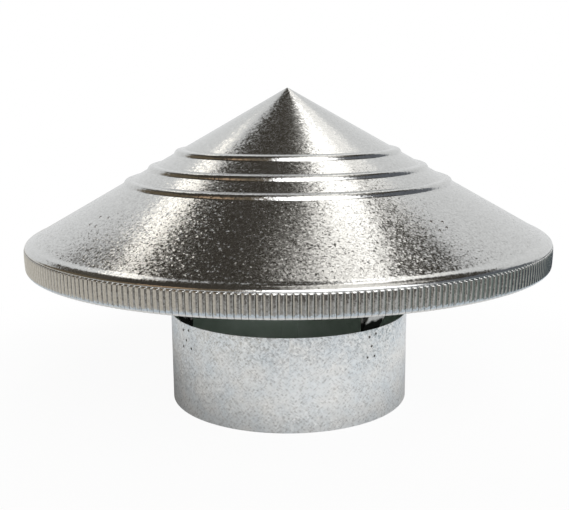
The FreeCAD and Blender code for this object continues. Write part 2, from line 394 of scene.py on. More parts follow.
# Drop of a row in mm, and the share of the arch's drop that it takes
ARCH_ROWS = ((1.9, 0.6), (1.2, 0.9), (0.94, 1.0), (0.87, 1.0), (0.83, 1.0), (0.8, 1.0), (0.62, 0.5))

half_width = PLAIN_RADIUS * math.sin(HALF_FLUTE)
moved = 0
for step in range(FLUTE_STEPS // 4):
    turn = 2 * math.pi * step / FLUTE_STEPS
    across = half_width * math.cos(turn)
    for drop, share in ARCH_ROWS:
        moved += pick(
            "VERT",
            lambda middle, part: abs(abs(middle.x) - across) < NEAR
            and abs(middle.z - (SKIRT_TOP - drop * MM)) < SAME_ROW,
        )
        sink = ARCH_DROP * share * (1 - math.sin(turn)) ** 2
        bpy.ops.transform.translate(value=(0, 0, -sink))
print("Points let down:", moved)

# %% [markdown]
# Spin with duplicates sets a copy of the flute at each place round the flue's axis. Neighbours share
# a crease, so merging by distance then welds the copies to one skirt.

# %% All the flutes
MERGE_DISTANCE = 0.03 * MM
bpy.ops.mesh.select_all(action="SELECT")
bpy.ops.mesh.spin(
    steps=FLUTES - 1,
    dupli=True,
    angle=2 * math.pi * (FLUTES - 1) / FLUTES,
    center=(0, 0, 0),
    axis=(0, 0, 1),
)
bpy.ops.mesh.select_all(action="SELECT")
bpy.ops.mesh.remove_doubles(threshold=MERGE_DISTANCE)
flute = leave_edit()
print("Skirt:", len(flute.data.vertices), "points,", triangles(flute), "triangles")

# %% [markdown]
# The shell and the skirt become one mesh. Bridge closes the narrow gap between the shoulder's ring
# and the first row of the flutes, and the inside wall comes down behind the flutes to their lower
# end, so the sheet is closed all round.

# %% Join the flutes to the shell
INSIDE_ROWS = ((214.35, 0.9), (214.3, 13.8), (214.1, 16.2), (213.8, 17.3))  # radius and drop in mm
OUTER_DEPTH = 0.75 * SHEET  # the outer rings lie no deeper than this
OUTER_DROP = 0.5 * MM  # and no lower than this under the skirt's top

edit(join([hat, flute]))
# Two rings are open on the outside: the shoulder's last one and the flutes' first row
outer_edges = pick(
    "EDGE",
    lambda middle, part: part.is_boundary
    and away(middle) > PLAIN_RADIUS - OUTER_DEPTH
    and middle.z > SKIRT_TOP - OUTER_DROP,
)
bpy.ops.mesh.bridge_edge_loops()
inner_edges = pick(
    "EDGE", lambda middle, part: part.is_boundary and abs(middle.z - SKIRT_TOP) < 5 * NEAR
)
inside_rings = [(radius * MM, SKIRT_TOP - drop * MM) for radius, drop in INSIDE_ROWS]
extrude_rings(inside_rings, PLAIN_RADIUS - SHEET, SKIRT_TOP)
pick("EDGE", lambda middle, part: part.is_boundary)
bpy.ops.mesh.bridge_edge_loops()
open_edges = pick("EDGE", lambda middle, part: not part.is_manifold)
face_outwards()
print("Edges bridged:", outer_edges, inner_edges, "left open:", open_edges)

# %% [markdown]
# The pressed sheet is smooth everywhere except in the flutes' creases and at its cut edge. Smooth by
# angle keeps these sharp and lets the light run on over the beads and the shoulder.

# %% Smooth and sharp
hat = leave_edit()
bpy.ops.object.shade_smooth_by_angle(angle=math.radians(50))
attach(hat, "root")
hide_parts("hat")
print("Finished hat:", triangles(hat), "triangles")

# %% [markdown]
# The collar is a strip rolled to a tube. Its ends lap by 15 mm at the back: one end is joggled
# inwards by the sheet's thickness and goes under the other. So the model starts as a circle that is
# turned until one of its points is the free end, and is opened beside it.

# %% The collar's open circle
collar_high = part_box("collar")[1]
COLLAR_RADIUS = collar_high.x
COLLAR_STEPS = 180
LAP_HALF = 7.5 * MM
lap_turn = math.asin(LAP_HALF / COLLAR_RADIUS)
step_turn = 2 * math.pi / COLLAR_STEPS


def round_the_back(turn, radius):
    """Point of the collar's lower edge at a turn from the back towards +X."""
    return Vector((radius * math.sin(turn), radius * math.cos(turn), 0))


collar = start(
    "collar_rolled", bpy.ops.mesh.primitive_circle_add, vertices=COLLAR_STEPS, radius=COLLAR_RADIUS
)
bpy.ops.transform.rotate(value=lap_turn, orient_axis="Z", center_override=(0, 0, 0))
points = bmesh.from_edit_mesh(collar.data).verts
turns = sorted(math.atan2(point.co.x, point.co.y) for point in points)
free_end = min(turns, key=lambda turn: abs(turn - lap_turn))
under_end = free_end + step_turn
corner = round_the_back(under_end, COLLAR_RADIUS)
gap_middle = (round_the_back(free_end, COLLAR_RADIUS) + corner) / 2
removed = pick("EDGE", lambda middle, part: (middle - gap_middle).length < NEAR)
bpy.ops.mesh.delete(type="EDGE")
print("Collar edges removed:", removed, "free end at", round(math.degrees(free_end), 2), "degrees")

# %% [markdown]
# The end beside the gap grows by extruding its last point: in through the joggle, then back under
# the free end. Then the whole line is drawn up to the collar's height. It encloses nothing, so the
# faces are turned outwards by looking at one in front.

# %% The joggled end and the wall
COLLAR_SHEET = 0.6 * MM
LAP_GAP = 0.05 * MM
LAP_STEPS = 5
WALL_SHARES = (0.15, 0.35, 0.35, 0.15)  # of the height, from one ring of the wall to the next

pick("VERT", lambda middle, part: (middle - corner).length < NEAR)
under_radius = COLLAR_RADIUS - COLLAR_SHEET - LAP_GAP
lap_places = [
    (free_end + 0.45 * step_turn, COLLAR_RADIUS - LAP_GAP),
    (free_end + 0.2 * step_turn, under_radius + 2 * LAP_GAP),
    (free_end + 0.05 * step_turn, under_radius),
]
for step in range(1, LAP_STEPS + 1):
    lap_places.append((free_end - lap_turn * 2 * step / LAP_STEPS, under_radius))
for turn, radius in lap_places:
    place = round_the_back(turn, radius)
    bpy.ops.mesh.extrude_region_move()
    bpy.ops.transform.translate(value=place - corner)
    corner = place
bpy.ops.mesh.select_all(action="SELECT")
for share in WALL_SHARES:
    bpy.ops.mesh.extrude_region_move(
        TRANSFORM_OT_translate={"value": (0, 0, share * collar_high.z)}
    )
face_outwards(lambda middle, part: middle.y < -0.9 * COLLAR_RADIUS and part.normal.y > 0)
collar = leave_edit()
print("Lap's joggled end:", len(lap_places), "points, the last at", round(corner.x / MM, 2), "mm")

# %% [markdown]
# Shears leave the strip's edges square with a hair of wear. Solidify gives the wall its thickness
# inwards, because the pipe's size belongs to the outside, and a fine bevel wears the edges.

# %% The collar's thickness and its trimmed edges
SHARP_EDGE = math.radians(60)


def thicken(piece, sheet, wear, wear_steps, smooth_below):
    """Give a bent sheet its thickness inwards and worn edges, and smooth its gentle bends."""
    add_modifier(piece, "SOLIDIFY", thickness=sheet, offset=-1, use_even_offset=True)
    bevel = {"width": wear, "segments": wear_steps}
    add_modifier(piece, "BEVEL", limit_method="ANGLE", angle_limit=SHARP_EDGE, **bevel)
    bpy.ops.object.shade_smooth_by_angle(angle=math.radians(smooth_below))


thicken(collar, COLLAR_SHEET, wear=0.08 * MM, wear_steps=1, smooth_below=25)
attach(collar, "root")
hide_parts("collar")
print("Finished collar:", triangles(collar), "triangles")

# %% [markdown]
# A strap is a strip of flat bar with two bends. By hand it is one plane: the foot. Its top edge is
# spun round the first bend, extruded along the web, spun round the second bend and extruded again
# under the hat. Its sizes follow the collar's inside and the cone's, so both its ends are seated.

# %% Where a strap bends
STRAP_WIDTH = 18 * MM
STRAP_SHEET = 1.0 * MM
STRAP_BEND = 2.5 * MM
FOOT_BOTTOM = 50 * MM
FOOT_TOP = 77 * MM
HEAD_RADIUS = 159 * MM
HEAD_LENGTH = 25 * MM

inside_radius = COLLAR_RADIUS - COLLAR_SHEET
foot_radius = math.sqrt(inside_radius**2 - (STRAP_WIDTH / 2) ** 2)
head_height = (
    on_cone(math.hypot(HEAD_RADIUS, STRAP_WIDTH / 2))[1] - (SHEET + STRAP_SHEET) / math.cos(SLOPE)
)
foot_centre = Vector((foot_radius + STRAP_BEND, 0, FOOT_TOP))
head_centre = Vector((HEAD_RADIUS, 0, head_height)) - STRAP_BEND * Vector(
    (math.sin(SLOPE), 0, math.cos(SLOPE))
)
web = head_centre - foot_centre
web_rise = math.atan2(web.z, web.x)
print("Web:", round(web.length / MM, 1), "mm at", round(math.degrees(web_rise), 1), "degrees")

# %% One strap
BEND_STEPS = 8
start(
    "strap_bent",
    bpy.ops.mesh.primitive_plane_add,
    size=STRAP_WIDTH,
    rotation=(0, math.pi / 2, 0),
    location=(foot_radius, 0, FOOT_TOP - STRAP_WIDTH / 2),
)
pick("VERT", lambda middle, part: middle.z < FOOT_TOP - STRAP_WIDTH / 2)
bpy.ops.transform.translate(value=(0, 0, FOOT_BOTTOM - (FOOT_TOP - STRAP_WIDTH)))
pick("EDGE", lambda middle, part: abs(middle.z - FOOT_TOP) < NEAR)
bpy.ops.mesh.spin(
    steps=BEND_STEPS, angle=math.pi / 2 - web_rise, center=foot_centre, axis=(0, 1, 0)
)
bpy.ops.mesh.extrude_region_move(TRANSFORM_OT_translate={"value": web})
bpy.ops.mesh.spin(steps=BEND_STEPS, angle=web_rise + SLOPE, center=head_centre, axis=(0, 1, 0))
head = HEAD_LENGTH * Vector((math.cos(SLOPE), 0, -math.sin(SLOPE)))
bpy.ops.mesh.extrude_region_move(TRANSFORM_OT_translate={"value": head})
bpy.ops.mesh.select_all(action="SELECT")
bpy.ops.mesh.remove_doubles(threshold=NEAR)
face_outwards(lambda middle, part: middle.z < FOOT_TOP and part.normal.x < 0)
strap = leave_edit()
print("Strap's middle sheet:", len(strap.data.polygons), "faces")

# %% [markdown]
# The strip's outer face lies against the collar and the hat, so its thickness goes inwards too. Bar
# has rounder edges than sheet, and its bevel gets two steps. Then the strap is copied to its four
# places, each copy with its own mesh, turned about the axis and with the turn applied.

# %% The strap's thickness and worn edges
thicken(strap, STRAP_SHEET, wear=0.12 * MM, wear_steps=2, smooth_below=30)
print("One strap:", triangles(strap), "triangles")

# %% Four straps, each with its own mesh
STRAP_TURNS = {"back_right": 37, "back_left": 127, "front_left": 215, "front_right": 309}


def copy_of(piece):
    """A copy of a piece, with a mesh of its own."""
    copy = piece.copy()
    copy.data = piece.data.copy()
    bpy.context.scene.collection.objects.link(copy)
    return copy


straps = []
for place, degrees in STRAP_TURNS.items():
    copy = copy_of(strap)
    copy.name = copy.data.name = f"strap_{place}_bar"
    choose(copy)
    copy.rotation_euler.z = math.radians(degrees)
    bpy.ops.object.transform_apply(location=True, rotation=True, scale=True)
    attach(copy, "root")
    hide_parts(f"strap_{place}")
    straps.append(copy)
bpy.data.objects.remove(strap)
print("Straps:", [piece.name for piece in straps])

# %% [markdown]
# Each spot weld left a small pit with a raised lip. They are tiny, but they tell that straps are
# fastened behind the sheet, so each is modelled: a low button whose top is inset and pushed in.
# One button is made, and copies with their own meshes are turned to the sheet and joined.

# %% One spot weld
MARK_RADIUS = 1.5 * MM
MARK_RISE = 0.14 * MM
MARK_SUNK = 0.25 * MM
LIP_TAPER = 0.85
LIP_WIDTH = 0.3 * MM
LIP_DIP = 0.02 * MM
PIT_WALL = 0.12 * MM
PIT_DEPTH = 0.07 * MM
start(
    "weld_mark",
    bpy.ops.mesh.primitive_cylinder_add,
    vertices=16,
    radius=MARK_RADIUS,
    depth=MARK_RISE + MARK_SUNK,
    location=(0, 0, (MARK_RISE - MARK_SUNK) / 2),
)
pick("FACE", lambda middle, part: part.normal.z > 0.9)
bpy.ops.transform.resize(value=(LIP_TAPER, LIP_TAPER, 1), center_override=(0, 0, MARK_RISE))
for inset, sunk in ((LIP_WIDTH, LIP_DIP), (PIT_WALL, PIT_DEPTH)):
    bpy.ops.mesh.inset(thickness=inset)
    bpy.ops.transform.translate(value=(0, 0, -sunk))
mark = leave_edit()
bpy.ops.object.shade_smooth_by_angle(angle=math.radians(50))
print("One weld:", triangles(mark), "triangles")

# %% [markdown]
# The welds sit in loose groups where a strap lies behind the sheet, and in a row down the collar's
# lap. Those in front were measured in the photograph, and the back straps get the same groups.

# %% Where the welds are
# Turn from the front towards +X in degrees, then height on the collar or radius on the cone in mm
COLLAR_MARKS_LEFT = ((-57.2, 69.9), (-52.5, 71.4), (-54.6, 62.5), (-57.5, 56.2), (-50.4, 57.1))
COLLAR_MARKS_RIGHT = ((38.2, 70.3), (42.2, 71.7), (39.6, 62.5), (41.4, 53.8), (37.1, 54.1))
CONE_MARKS_LEFT = ((-57.0, 166.5), (-52.8, 165.3), (-56.7, 175.0), (-53.3, 175.1))
CONE_MARKS_RIGHT = ((37.2, 164.7), (40.6, 166.5), (39.9, 172.1), (37.0, 173.6))
HALF_ROUND = 182  # from a front strap's welds to those of the back strap across from it
SEAM_MARK_HEIGHTS = (9, 24, 39, 54, 68)


def facing(degrees):
    """Level direction at a turn from the front towards +X."""
    turn = math.radians(degrees)
    return Vector((math.sin(turn), -math.cos(turn), 0))


def on_collar(degrees, height):
    """Place on the collar's outside and the direction square to it."""
    out = facing(degrees)
    return out * COLLAR_RADIUS + Vector((0, 0, height * MM)), out


def on_hat(degrees, radius):
    """Place on the cone's outside and the direction square to it."""
    out = facing(degrees)
    radius_m, height = on_cone(radius * MM)
    square = out * math.sin(SLOPE) + Vector((0, 0, math.cos(SLOPE)))
    return out * radius_m + Vector((0, 0, height)), square


collar_places = []
for degrees, height in COLLAR_MARKS_LEFT + COLLAR_MARKS_RIGHT:
    collar_places += [on_collar(degrees, height), on_collar(degrees + HALF_ROUND, height)]
collar_places += [on_collar(180, height) for height in SEAM_MARK_HEIGHTS]
cone_places = []
for degrees, radius in CONE_MARKS_LEFT + CONE_MARKS_RIGHT:
    cone_places += [on_hat(degrees, radius), on_hat(degrees + HALF_ROUND, radius)]
print("Welds on the collar:", len(collar_places), "and on the hat:", len(cone_places))

# %% Copy the weld to its places
def place_marks(name, places):
    """Copy the weld to each place and direction, and join the copies to one piece."""
    copies = []
    for place, direction in places:
        copy = copy_of(mark)
        turn = direction.to_track_quat("Z", "Y").to_matrix().to_4x4()
        copy.data.transform(Matrix.Translation(place) @ turn)
        copies.append(copy)
    joined = join(copies)
    joined.name = joined.data.name = name
    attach(joined, "root")
    print(name, len(copies), "welds")
    return joined


collar_marks = place_marks("weld_marks_collar", collar_places)
hat_marks = place_marks("weld_marks_hat", cone_places)
bpy.data.objects.remove(mark)

# %% [markdown]
# Galvanised sheet is a mirror broken into grains. Each zinc grain stands at a slightly different
# angle, so where the surroundings change from dark to bright, some grains catch the light and others
# don't, and that gives the speckle. The colour alone can't do this. So the finish tilts the normal
# by a random amount for each cell of a Voronoi pattern, and keeps colour and roughness nearly plain.

# %% Helpers for materials
def new_material(name):
    """An empty node material: the material, its tree and its main shader."""
    material = bpy.data.materials.new(name)
    material.use_nodes = True
    tree = material.node_tree
    tree.nodes.clear()
    shader = tree.nodes.new("ShaderNodeBsdfPrincipled")
    add_node(tree, "ShaderNodeOutputMaterial", {"Surface": shader.outputs["BSDF"]})
    return material, tree, shader


def feed(tree, node, inputs):
    """Set a node's inputs to plain values, or link them to other nodes' results."""
    for name, value in inputs.items():
        if isinstance(value, bpy.types.NodeSocket):
            tree.links.new(value, node.inputs[name])
        else:
            node.inputs[name].default_value = value


def add_node(tree, kind, inputs=None, **settings):
    """Add a node, set its properties and feed its inputs."""
    node = tree.nodes.new(kind)
    for name, value in settings.items():
        setattr(node, name, value)
    feed(tree, node, inputs or {})
    return node


def maths(tree, operation, *values):
    """Result of a Math node."""
    node = add_node(tree, "ShaderNodeMath", dict(enumerate(values)), operation=operation)
    return node.outputs[0]


def vector_maths(tree, operation, *values, result="Vector", **named):
    """Result of a Vector Math node."""
    inputs = {**dict(enumerate(values)), **named}
    node = add_node(tree, "ShaderNodeVectorMath", inputs, operation=operation)
    return node.outputs[result]


def multiply(tree, *values):
    """Multiply values together."""
    product = values[0]
    for value in values[1:]:
        product = maths(tree, "MULTIPLY", product, value)
    return product


def between(tree, value, low, high, from_low=0.0, from_high=1.0, smooth=False):
    """Map a value from one range to another."""
    kind = "SMOOTHSTEP" if smooth else "LINEAR"
    mapped = add_node(
        tree,
        "ShaderNodeMapRange",
        {"Value": value, "From Min": from_low, "From Max": from_high, "To Min": low, "To Max": high},
        interpolation_type=kind,
    )
    return mapped.outputs["Result"]


def mix_colours(tree, share, first, second):
    """Mix two colours."""
    mixed = add_node(tree, "ShaderNodeMix", {0: share, 6: first, 7: second}, data_type="RGBA")
    return mixed.outputs[2]


# %% Helpers for patterns
def own_place(tree):
    """Place on the piece itself, in metres."""
    return add_node(tree, "ShaderNodeTexCoord").outputs["Object"]


def axes(tree, place):
    """The three parts of a place or direction."""
    return add_node(tree, "ShaderNodeSeparateXYZ", {"Vector": place}).outputs


def noise(tree, place, scale, detail, result="Fac"):
    """Noise with so many clouds in a metre."""
    inputs = {"Vector": place, "Scale": scale, "Detail": detail}
    return add_node(tree, "ShaderNodeTexNoise", inputs).outputs[result]


def cells(tree, place, scale, **settings):
    """A Voronoi pattern with so many cells in a metre, each of a random colour."""
    inputs = {"Vector": place, "Scale": scale}
    return add_node(tree, "ShaderNodeTexVoronoi", inputs, **settings).outputs


def chances(tree, pattern):
    """Three random numbers for each cell of a pattern, by the names Red, Green and Blue."""
    return add_node(tree, "ShaderNodeSeparateColor", {"Color": pattern["Color"]}).outputs


def tilted_normal(tree, grain, tilt, normal=None):
    """Normal of the surface, tilted by a random amount for each grain."""
    centred = vector_maths(tree, "SUBTRACT", grain, (0.5, 0.5, 0.5))
    scaled = vector_maths(tree, "SCALE", centred, Scale=tilt)
    if normal is None:
        normal = add_node(tree, "ShaderNodeNewGeometry").outputs["Normal"]
    return vector_maths(tree, "NORMALIZE", vector_maths(tree, "ADD", scaled, normal))


# %% The hat's bright zinc grains
GRAIN_SIZE = 1.4 * MM
GRAIN_TILT = 0.045
HAT_LIGHT = (0.70, 0.70, 0.69, 1)
HAT_DARK = (0.60, 0.60, 0.59, 1)
HAT_ROUGHNESS = 0.15
HAT_CLOUDS = 45.0

hat_steel, tree, shader = new_material("hat_steel")
place = own_place(tree)
grains = cells(tree, place, 1 / GRAIN_SIZE)
chance = chances(tree, grains)
colour = mix_colours(tree, chance["Red"], HAT_DARK, HAT_LIGHT)
cloud = noise(tree, place, HAT_CLOUDS, 3.0)
cloudy = mix_colours(tree, between(tree, cloud, 0.0, 0.5), colour, HAT_DARK)
rough = between(tree, chance["Green"], HAT_ROUGHNESS - 0.04, HAT_ROUGHNESS + 0.05)
feed(tree, shader, {"Metallic": 1.0, "Roughness": rough})
coarse = tilted_normal(tree, grains["Color"], GRAIN_TILT)
print("Grains of", GRAIN_SIZE / MM, "mm on", hat_steel.name)

# %% [markdown]
# Between the grains the photograph shows dark and bright strokes, short, bent and in patches, and
# single specks. Strokes lie along the edges of a second cell pattern, which a noise bends. Specks
# are single cells of a third. Both tilt the normal more than the grains do, and both get stronger
# down the cone and weaker on its rounded foot.

# %% Strokes and specks of the hat
STROKE_EDGE = (0.04, 0.16)  # distance from a cell's edge over which a stroke fades
STROKE_PATCHES = (0.48, 0.56)  # noise from which there are strokes, and from which they are full
SPECKS = (0.74, 0.8)  # chance from which a cell is a speck
MARKS_GROW = (70 * MM, 185 * MM)  # radii between which the marks get to their full strength
MARKS_FADE = (206 * MM, 210 * MM)  # radii between which they fade to a third of it
MARK_TILT = 0.24
STROKE_COLOUR = (0.2, 0.19, 0.18, 1)
STROKE_DARKENS = 0.3

bend = noise(tree, place, 0.5 / GRAIN_SIZE, 1.0, "Color")
bent = vector_maths(tree, "MULTIPLY_ADD", bend, (1.6 * GRAIN_SIZE,) * 3, place)
edges = cells(tree, bent, 0.62 / GRAIN_SIZE, feature="DISTANCE_TO_EDGE")["Distance"]
specks = cells(tree, bent, 1.25 / GRAIN_SIZE)
patchy = noise(tree, place, 1.0 / GRAIN_SIZE, 1.0)
stroke = multiply(
    tree,
    between(tree, edges, 1.0, 0.0, *STROKE_EDGE),
    between(tree, patchy, 0.0, 1.0, *STROKE_PATCHES),
)
speck = between(tree, chances(tree, specks)["Blue"], 0.0, 1.0, *SPECKS)
across, back = axes(tree, place)[:2]
flat = add_node(tree, "ShaderNodeCombineXYZ", {"X": across, "Y": back}).outputs[0]
far = vector_maths(tree, "LENGTH", flat, result="Value")
marked = multiply(
    tree,
    maths(tree, "MAXIMUM", stroke, speck),
    between(tree, far, 0.2, 1.0, *MARKS_GROW),
    between(tree, far, 1.0, 0.35, *MARKS_FADE),
)
both = tilted_normal(tree, specks["Color"], multiply(tree, marked, MARK_TILT), coarse)
stroked = mix_colours(tree, multiply(tree, marked, STROKE_DARKENS), cloudy, STROKE_COLOUR)
feed(tree, shader, {"Base Color": stroked, "Normal": both})
print("Material:", hat_steel.name, "with", len(tree.nodes), "nodes")

# %% [markdown]
# The straps are galvanised bar, and where they come out of the collar they lie in shade, so there
# they are painted nearly black: painted shade, for which the finish stops being metallic as well as
# getting dark. A noise moves the painted shade's upper edge up and down, because a level edge would
# look drawn.

# %% Galvanised bar of the straps
STRAP_GRAINS = 500.0
STRAP_DARK = (0.5, 0.51, 0.5, 1)
STRAP_LIGHT = (0.62, 0.63, 0.62, 1)
STRAP_SHADE_EDGE = (87 * MM, 91 * MM)
STRAP_SHADE_UNEVEN = 9 * MM
STRAP_SHADE_CLOUDS = 160.0
STRAP_SHADE_COLOUR = (0.008, 0.009, 0.008, 1)

strap_steel, tree, shader = new_material("strap_steel")
place = own_place(tree)
grains = cells(tree, place, STRAP_GRAINS)
chance = chances(tree, grains)
zinc = mix_colours(tree, chance["Red"], STRAP_DARK, STRAP_LIGHT)
# Painted shade: below an uneven height the strap is made nearly black and not metallic, for the
# shadow where it leaves the collar.
shade_noise = noise(tree, place, STRAP_SHADE_CLOUDS, 2.0)
shade_height = maths(tree, "MULTIPLY_ADD", shade_noise, STRAP_SHADE_UNEVEN, axes(tree, place)["Z"])
painted_shade = between(tree, shade_height, 1.0, 0.0, *STRAP_SHADE_EDGE, smooth=True)
shaded_zinc = mix_colours(tree, painted_shade, zinc, STRAP_SHADE_COLOUR)
tilted = tilted_normal(tree, grains["Color"], 0.14)
feed(tree, shader, {"Base Color": shaded_zinc, "Metallic": between(tree, painted_shade, 1.0, 0.0)})
feed(tree, shader, {"Specular IOR Level": 0.0, "Roughness": 0.34, "Normal": tilted})
print("Material:", strap_steel.name)

# %% [markdown]
# The collar's sheet is from a duller roll: paler and rougher, so it mirrors only broad light and
# dark, with fine short scratches that lie both ways across the roll and cloudy patches. Scratches
# follow the strip, so their pattern is laid on the collar unrolled: so far round, so far up. Each
# is a cell of a pattern that is stretched one way and leant.

# %% Scratches on the collar
SCRATCH_SIZE = (2.8 * MM, 0.6 * MM, 1)
SCRATCH_LEANS = (38, -42)  # degrees from level
SCRATCHED_CELLS = (0.7, 0.85)
SCRATCH_CORE = (0.3, 0.6)

collar_steel, tree, shader = new_material("collar_steel")
across, back, up = axes(tree, own_place(tree))
round_it = maths(tree, "MULTIPLY", maths(tree, "ARCTAN2", across, back), COLLAR_RADIUS)
unrolled = add_node(tree, "ShaderNodeCombineXYZ", {"X": round_it, "Y": up}).outputs[0]
scratches = []
for lean in SCRATCH_LEANS:
    leaning = add_node(
        tree,
        "ShaderNodeMapping",
        {"Vector": unrolled, "Rotation": (0, 0, math.radians(lean)), "Scale": SCRATCH_SIZE},
        vector_type="TEXTURE",
    ).outputs[0]
    spots = cells(tree, leaning, 1.0)
    chosen = between(tree, chances(tree, spots)["Red"], 0.0, 1.0, *SCRATCHED_CELLS)
    core = between(tree, spots["Distance"], 1.0, 0.0, *SCRATCH_CORE)
    scratches.append(multiply(tree, chosen, core))
scratch = maths(tree, "MAXIMUM", *scratches)
print("Scratches:", len(scratches), "ways across the roll")

# %% Dull galvanised sheet of the collar
COLLAR_CLOUDS = 55.0
COLLAR_GRAINS = 600.0
COLLAR_WARM = (0.92, 0.92, 0.90, 1)
COLLAR_COOL = (0.80, 0.85, 0.88, 1)
GRAIN_COLOUR = (0.6, 0.6, 0.6, 1)
SCRATCH_COLOUR = (0.28, 0.27, 0.26, 1)

cloud = between(tree, noise(tree, unrolled, COLLAR_CLOUDS, 4.0), 0.0, 1.0, 0.3, 0.7)
grains = cells(tree, unrolled, COLLAR_GRAINS)
chance = chances(tree, grains)
zinc = mix_colours(tree, cloud, COLLAR_WARM, COLLAR_COOL)
grained = mix_colours(tree, between(tree, chance["Red"], 0.0, 0.25), zinc, GRAIN_COLOUR)
scratched = mix_colours(tree, between(tree, scratch, 0.0, 0.6), grained, SCRATCH_COLOUR)
rough = between(tree, chance["Green"], 0.30, 0.40)
feed(tree, shader, {"Base Color": scratched, "Metallic": 1.0, "Roughness": rough})
feed(tree, shader, {"Normal": tilted_normal(tree, grains["Color"], 0.2)})
print("Material:", collar_steel.name)

# %% [markdown]
# The collar's inside is the same zinc as its outside, but it lies in shade under the hat. Its colour
# is painted shade: a metal with a darker, greenish, uneven colour.

# %% The collar's inside, in painted shade
INSIDE_SHADE_CLOUDS = 60.0
INSIDE_SHADE_DARK = (0.36, 0.45, 0.38, 1)
INSIDE_SHADE_LIGHT = (0.58, 0.66, 0.6, 1)

collar_inside_painted_shade, tree, shader = new_material("collar_inside_painted_shade")
# Painted shade: the inside is darker and greener than the outside, for the shade inside the collar.
inside_shade = mix_colours(tree, noise(tree, own_place(tree), INSIDE_SHADE_CLOUDS, 4.0), INSIDE_SHADE_DARK, INSIDE_SHADE_LIGHT)
feed(tree, shader, {"Base Color": inside_shade, "Metallic": 1.0, "Roughness": 0.5})
print("Material:", collar_inside_painted_shade.name)

# %% [markdown]
# The heat burns the zinc away in the pit of each weld. The scale that is left is dark, rough and
# only half metallic, with soot finer than the pit itself.

# %% The burnt pit of a spot weld
SOOT_SPOTS = 2500.0
BURNT_DARK = (0.02, 0.018, 0.016, 1)
BURNT_LIGHT = (0.12, 0.1, 0.09, 1)

weld_pit, tree, shader = new_material("weld_pit")
soot = noise(tree, own_place(tree), SOOT_SPOTS, 2.0)
burnt = mix_colours(tree, soot, BURNT_DARK, BURNT_LIGHT)
rough = between(tree, soot, 0.45, 0.75)
feed(tree, shader, {"Base Color": burnt, "Metallic": 0.6, "Roughness": rough})
print("Material:", weld_pit.name)

# %% [markdown]
# Now each piece gets its finish. The collar's inner faces take the painted shade, and those in a
# weld's pit take the burn. They are told by the way they face and by how near a weld's middle they
# are.

# %% Give each piece its material
PIT_RADIUS = 0.95 * MM


def finish_with(piece, *materials):
    """Put materials in a piece's slots, the first one on every face."""
    piece.data.materials.clear()
    for material in materials:
        piece.data.materials.append(material)
    for face in piece.data.polygons:
        face.material_index = 0


finish_with(hat, hat_steel)
finish_with(collar, collar_steel, collar_inside_painted_shade)
for face in collar.data.polygons:
    if face.normal.dot(Vector((face.center.x, face.center.y, 0))) < -0.5 * away(face.center):
        face.material_index = 1
for piece in straps:
    finish_with(piece, strap_steel)
for marks, steel, places in (
    (collar_marks, collar_steel, collar_places),
    (hat_marks, hat_steel, cone_places),
):
    finish_with(marks, steel, weld_pit)
    for face in marks.data.polygons:
        nearest = min((face.center - place).length for place, direction in places)
        if nearest < PIT_RADIUS and face.area < PIT_RADIUS**2 * 3:
            face.material_index = 1

# %% [markdown]
# A mirror shows what is round it, so the studio matters as much as the finish. The cap stands on a
# pale round floor, which keeps its shadow, while the camera sees plain white beyond it, as in a
# cut-out picture. What the sheet mirrors in the floor is the floor's own glow, with painted shadow
# and painted light: dim near and behind the cap, bright in front of it and to its right, and a
# bluish painted reflection towards the floor's edge.

# %% The floor's paint, and its glow with painted shadow and light
FLOOR_RADIUS = 0.46
FLOOR_GLOW = 0.94  # share of plain white that the camera sees in the floor, over its shaded paint
MIRRORED_SHARE = 0.75  # share of its own glow that the sheet mirrors in the floor
PAINTED_LIGHT_WAY = (0.25, -0.35, 0)  # the way in which the mirrored floor gets brighter
PAINTED_EDGE_REFLECTION = (0.66, 0.78, 0.9, 1)
PAINT = (0.9, 0.9, 0.9, 1)

floor_paint_and_glow, tree, shader = new_material("floor_paint_and_glow")
feed(tree, shader, {"Base Color": PAINT, "Roughness": 0.9, "Specular IOR Level": 0.0})
place = own_place(tree)
far = vector_maths(tree, "LENGTH", place, result="Value")
fading = between(tree, far, FLOOR_GLOW, 1.0, 0.6 * FLOOR_RADIUS, 0.98 * FLOOR_RADIUS, smooth=True)
rays = add_node(tree, "ShaderNodeLightPath").outputs
seen, mirrored = rays["Is Camera Ray"], rays["Is Glossy Ray"]
share = maths(tree, "MULTIPLY_ADD", mirrored, MIRRORED_SHARE, multiply(tree, seen, fading))
# Painted shadow and light for mirrored rays: the glow is dim near and behind the cap and brighter
# towards the front right.
shifted = vector_maths(tree, "DOT_PRODUCT", place, PAINTED_LIGHT_WAY, result="Value")
painted_floor_light = between(tree, maths(tree, "ADD", far, shifted), 0.05, 1.0, 0.06, 0.24)
strength = maths(tree, "MULTIPLY_ADD", mirrored, painted_floor_light, seen)
# A bluish painted reflection towards the floor's edge, for mirrored rays only.
outer = multiply(tree, mirrored, between(tree, far, 0.0, 1.0, 0.3, 0.38))
hue = mix_colours(tree, outer, (1, 1, 1, 1), PAINTED_EDGE_REFLECTION)
glow = add_node(tree, "ShaderNodeEmission", {"Color": hue, "Strength": strength}).outputs[0]
lit = add_node(tree, "ShaderNodeMixShader", {0: share, 1: shader.outputs[0], 2: glow}).outputs[0]
output = next(node for node in tree.nodes if node.type == "OUTPUT_MATERIAL")
feed(tree, output, {"Surface": lit})
print("Material:", floor_paint_and_glow.name)

# %% The floor
bpy.ops.object.select_all(action="DESELECT")
bpy.ops.mesh.primitive_circle_add(vertices=96, radius=FLOOR_RADIUS, fill_type="NGON")
floor = bpy.context.active_object
floor.name = "floor"
floor.data.materials.append(floor_paint_and_glow)
print("Floor:", FLOOR_RADIUS, "m in radius")

